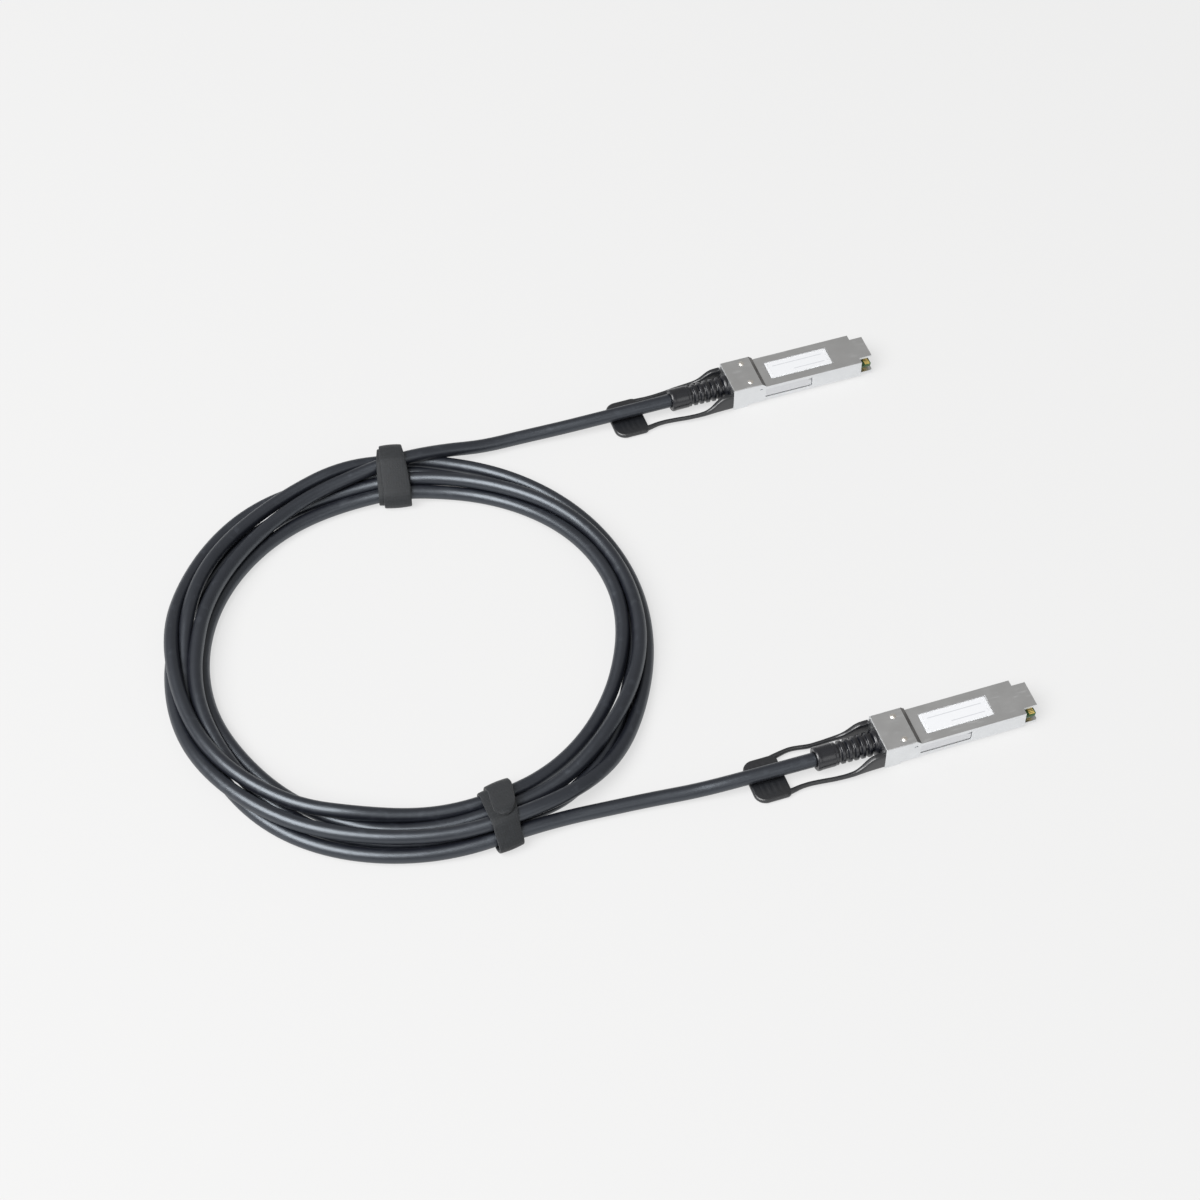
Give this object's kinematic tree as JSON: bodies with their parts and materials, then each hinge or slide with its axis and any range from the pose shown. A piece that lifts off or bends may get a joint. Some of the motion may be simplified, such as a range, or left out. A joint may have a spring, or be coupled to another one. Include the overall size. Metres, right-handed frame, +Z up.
{
  "type": "direct attach copper cable",
  "caption": "Coiled round twinax cable with a pluggable metal connector, ribbed boot and pull-tab latch on each end, held by hook-and-loop straps.",
  "frame": {"origin": "on the surface that the cable lies on, midway between the two plugs in X and in Y", "axes": "+X is the way both plugs point and go into a port, +Y runs from plug b towards plug a, +Z is up"},
  "size_m": [0.352, 0.2326, 0.0134],
  "materials": {
    "shell_metal": "satin",
    "board": "satin",
    "gold": "polished",
    "chip": "matte",
    "capacitor": "satin",
    "mould": "matte",
    "foil": "bright",
    "crimp": "satin",
    "boot": "satin",
    "slider_steel": "satin",
    "tab": "satin",
    "spring_steel": "bright",
    "rivet_steel": "bright",
    "label": "satin",
    "jacket": "satin",
    "strap": "woven hook and loop"
  },
  "bodies": {
    "cable": {"plug_a_upper_shell": "shell_metal", "plug_a_lower_shell": "shell_metal", "plug_a_paddle_card": "board", "plug_a_contact_pads": "gold", "plug_a_memory_chip": "chip", "plug_a_coupling_capacitors": "capacitor", "plug_a_lead_mould": "mould", "plug_a_twinax_leads": "foil", "plug_a_crimp_ring": "crimp", "plug_a_strain_relief_boot": "boot", "plug_a_return_spring_left": "spring_steel", "plug_a_return_spring_right": "spring_steel", "plug_a_shell_rivets": "rivet_steel", "plug_a_label": "label", "plug_b_upper_shell": "shell_metal", "plug_b_lower_shell": "shell_metal", "plug_b_paddle_card": "board", "plug_b_contact_pads": "gold", "plug_b_memory_chip": "chip", "plug_b_coupling_capacitors": "capacitor", "plug_b_lead_mould": "mould", "plug_b_twinax_leads": "foil", "plug_b_crimp_ring": "crimp", "plug_b_strain_relief_boot": "boot", "plug_b_return_spring_left": "spring_steel", "plug_b_return_spring_right": "spring_steel", "plug_b_shell_rivets": "rivet_steel", "plug_b_label": "label", "cable_coil": "jacket", "cable_lead_a": "jacket", "cable_lead_b": "jacket", "strap_upper": "strap", "strap_lower": "strap"},
    "release_a": {"plug_a_release_slider": "slider_steel", "plug_a_pull_tab": "tab"},
    "release_b": {"plug_b_release_slider": "slider_steel", "plug_b_pull_tab": "tab"}
  },
  "joints": [
    {"name": "release_a_pull", "type": "slide", "parent": "cable", "child": "release_a", "axis": [-1, 0, 0], "range_m": [0, 0.0022], "stiffness_N_per_m": 1500, "springref_m": -0.0002, "deforming": ["plug_a_return_spring_left", "plug_a_return_spring_right"]},
    {"name": "release_b_pull", "type": "slide", "parent": "cable", "child": "release_b", "axis": [-1, 0, 0], "range_m": [0, 0.0022], "stiffness_N_per_m": 1500, "springref_m": -0.0002, "deforming": ["plug_b_return_spring_left", "plug_b_return_spring_right"]}
  ]
}
